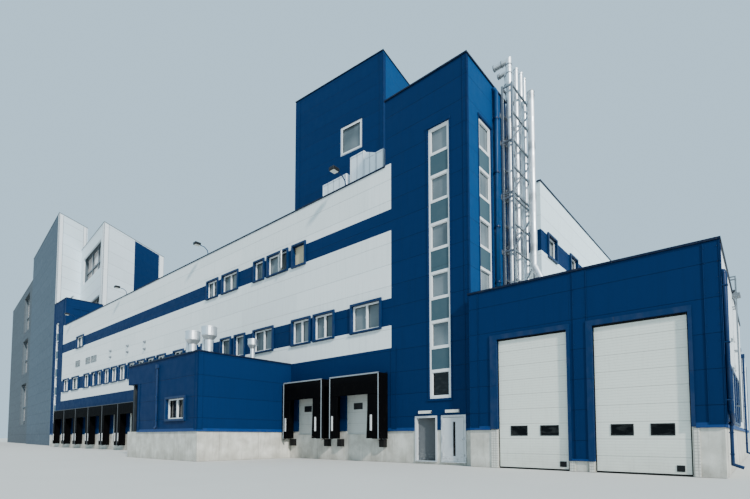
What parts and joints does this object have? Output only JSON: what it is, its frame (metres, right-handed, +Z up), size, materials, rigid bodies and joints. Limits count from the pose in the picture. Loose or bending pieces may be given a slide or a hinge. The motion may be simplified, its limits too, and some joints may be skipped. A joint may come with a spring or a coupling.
{
  "type": "factory building, scale model 1:10",
  "caption": "Long white and blue industrial hall with stair towers, loading docks, sectional doors, a grey tower block and a flue mast, as a hollow model with swinging personnel doors.",
  "frame": {"origin": "on the ground under the concrete base, at the right end of the right stair tower", "axes": "+X to the right along the front, +Y into the building, +Z up; the front faces -Y"},
  "size_m": [14.4219, 3.0409, 3.51],
  "materials": {
    "black_rubber": "matte",
    "blue_panel": "satin",
    "blue_trim": "satin",
    "bright_steel": "bright",
    "concrete": "matte",
    "dark_coping": "satin",
    "door_paint": "satin",
    "door_panel": "satin",
    "galvanised_steel": "satin",
    "glass": "gloss",
    "grey_panel": "satin",
    "grey_trim": "satin",
    "lamp_lens": "satin",
    "light_grey_panel": "satin",
    "light_panel": "satin",
    "roof_membrane": "matte",
    "white_frame": "gloss"
  },
  "bodies": {
    "building": {"annex_base": "concrete", "annex_coping": "dark_coping", "annex_floor": "concrete", "annex_front_wall": "blue_panel", "annex_rear_and_left_walls": "blue_panel", "annex_right_wall": "light_panel", "annex_roof": "roof_membrane", "dock_bumpers": "black_rubber", "dock_doors": "door_panel", "dock_floor": "concrete", "door_frames": "door_paint", "door_lamps": "lamp_lens", "first_floor": "concrete", "flue_mast": "galvanised_steel", "flues": "bright_steel", "front_annex_base": "concrete", "front_annex_coping": "dark_coping", "front_annex_roof": "roof_membrane", "front_annex_walls": "blue_panel", "grey_tower_copings": "dark_coping", "grey_tower_glazing": "grey_trim", "grey_tower_left_walls": "grey_panel", "grey_tower_right_walls": "light_grey_panel", "grey_tower_roofs": "roof_membrane", "grey_tower_tall_walls": "grey_panel", "hall_base": "concrete", "hall_coping": "dark_coping", "hall_front_wall": "light_panel", "hall_left_wall": "light_panel", "hall_rear_wall": "light_panel", "hall_right_wall": "light_panel", "hall_roof": "roof_membrane", "hall_windows": "white_frame", "left_dock_shelters": "black_rubber", "left_stair_tower": "blue_panel", "porch_post": "galvanised_steel", "rain_pipes": "blue_trim", "rear_annex": "blue_panel", "right_dock_shelters": "black_rubber", "roof_air_units": "galvanised_steel", "roof_floodlights": "blue_trim", "roof_ladder": "galvanised_steel", "roof_tower_coping": "dark_coping", "roof_tower_roof": "roof_membrane", "roof_tower_walls": "blue_panel", "roof_ventilators": "bright_steel", "second_floor": "concrete", "sectional_doors": "door_panel", "stair_tower_copings": "dark_coping", "stair_tower_front": "blue_panel", "stair_tower_inner_walls": "blue_panel", "stair_tower_roofs": "roof_membrane", "stair_tower_side": "blue_panel", "stair_windows": "white_frame", "window_glass": "glass", "window_surrounds": "blue_trim"},
    "left_door": {"left_door_leaf": "door_paint"},
    "right_door": {"right_door_leaf": "door_paint"}
  },
  "joints": [
    {"name": "left_door_hinge", "type": "hinge", "parent": "building", "child": "left_door", "pos_m": [-0.291, 0.00432, 0.12], "axis": [0, 0, 1], "range_deg": [-25, 65]},
    {"name": "right_door_hinge", "type": "hinge", "parent": "building", "child": "right_door", "pos_m": [-0.142, -0.01832, 0.12], "axis": [0, 0, -1], "range_deg": [0, 95]}
  ]
}
